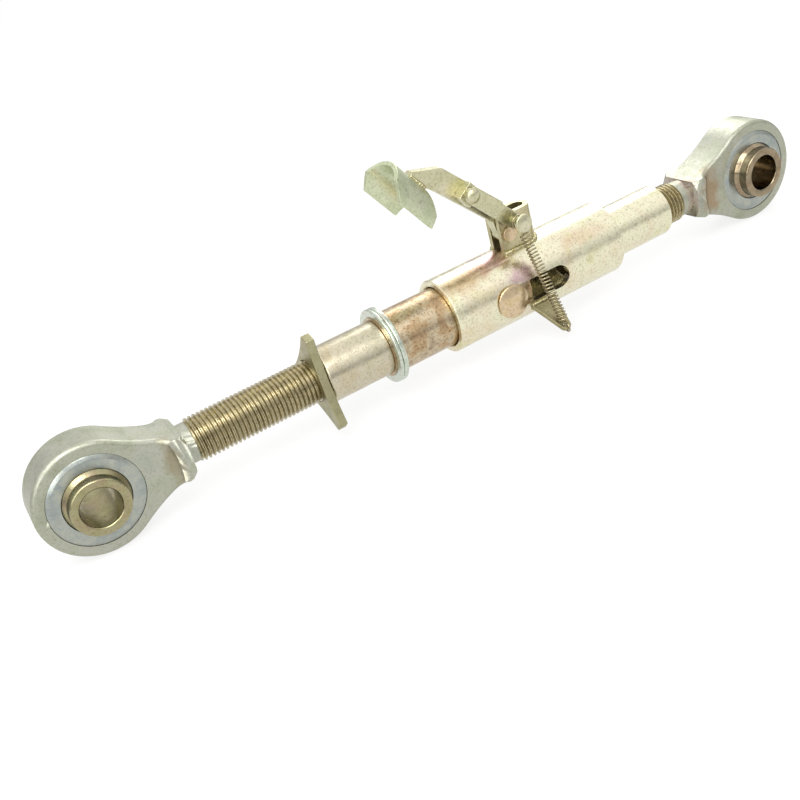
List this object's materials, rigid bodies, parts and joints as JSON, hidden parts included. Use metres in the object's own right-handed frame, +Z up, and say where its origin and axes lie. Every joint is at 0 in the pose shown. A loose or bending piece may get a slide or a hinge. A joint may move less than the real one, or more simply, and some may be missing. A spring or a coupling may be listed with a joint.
{
  "type": "tractor top link",
  "caption": "Telescopic tractor link: two ball eyes on threaded shanks, a sliding tube held by a cross pin in slots, and a flip-over saddle lever that locks the slide.",
  "frame": {"origin": "centre of the left ball's bore, where the tractor's hitch pin goes", "axes": "+X along the link to the right ball, +Y along the ball bores away from the spring side, +Z up, the side that carries the lever"},
  "size_m": [0.616, 0.0866, 0.1534],
  "materials": {
    "forging": "matt yellow-chromated forging",
    "race_zinc": "clear zinc, smooth",
    "ball_bronze": "yellow-chromated, turned smooth",
    "plate_zinc": "yellow-chromated zinc, semi-gloss",
    "tube_pale": "pale yellow-chromated zinc, glossy",
    "tube_copper": "copper-brown chromate, semi-gloss",
    "stop_zinc": "yellow-chromated zinc",
    "pin_zinc": "yellow-chromated zinc, glossy",
    "housing_zinc": "cream yellow-chromated zinc, glossy",
    "bracket_zinc": "yellow-chromated zinc, welded",
    "lever_zinc": "pale green-gold chromate, satin",
    "spring_steel": "bronze-tinted spring steel"
  },
  "bodies": {
    "left_ball": {"left_ball": "ball_bronze"},
    "left_eye": {"left_eye": "forging", "left_race": "race_zinc"},
    "lock_plate": {"lock_plate": "plate_zinc"},
    "inner": {"threaded_bush": "tube_pale", "inner_tube": "tube_copper", "stop_ring": "stop_zinc", "stop_collar": "stop_zinc", "cross_pin": "pin_zinc"},
    "housing": {"housing_tube": "housing_zinc", "end_bush": "housing_zinc", "bracket": "bracket_zinc", "pivot_pin": "pin_zinc", "spring_tab": "bracket_zinc", "spring": "spring_steel"},
    "lever": {"lever_arm": "lever_zinc", "saddle": "lever_zinc", "lever_strap": "lever_zinc", "strap_spacer": "lever_zinc", "strap_rivet": "pin_zinc", "spring_stud": "pin_zinc"},
    "right_eye": {"right_eye": "forging", "right_race": "race_zinc"},
    "right_ball": {"right_ball": "ball_bronze"}
  },
  "joints": [
    {"name": "left_ball_tilt", "type": "hinge", "parent": "left_ball", "child": "left_eye", "pos_m": [0, 0, 0], "axis": [0, 0, 1], "range_deg": [-8, 8]},
    {"name": "left_thread", "type": "slide", "parent": "left_eye", "child": "inner", "axis": [1, 0, 0], "range_m": [-0.07, 0.024]},
    {"name": "lock_plate_back_off", "type": "slide", "parent": "inner", "child": "lock_plate", "axis": [-1, 0, 0], "range_m": [0, 0.015]},
    {"name": "telescope", "type": "slide", "parent": "inner", "child": "housing", "axis": [1, 0, 0], "range_m": [-0.038, 0]},
    {"name": "lock_lever", "type": "hinge", "parent": "housing", "child": "lever", "pos_m": [0.3195, 0, 0.038], "axis": [0, -1, 0], "range_deg": [0, 55], "deforming": ["spring"]},
    {"name": "right_thread", "type": "slide", "parent": "housing", "child": "right_eye", "axis": [1, 0, 0], "range_m": [-0.022, 0.03]},
    {"name": "right_ball_tilt", "type": "hinge", "parent": "right_eye", "child": "right_ball", "pos_m": [0.54, 0, 0], "axis": [0, 0, 1], "range_deg": [-8, 8]}
  ]
}
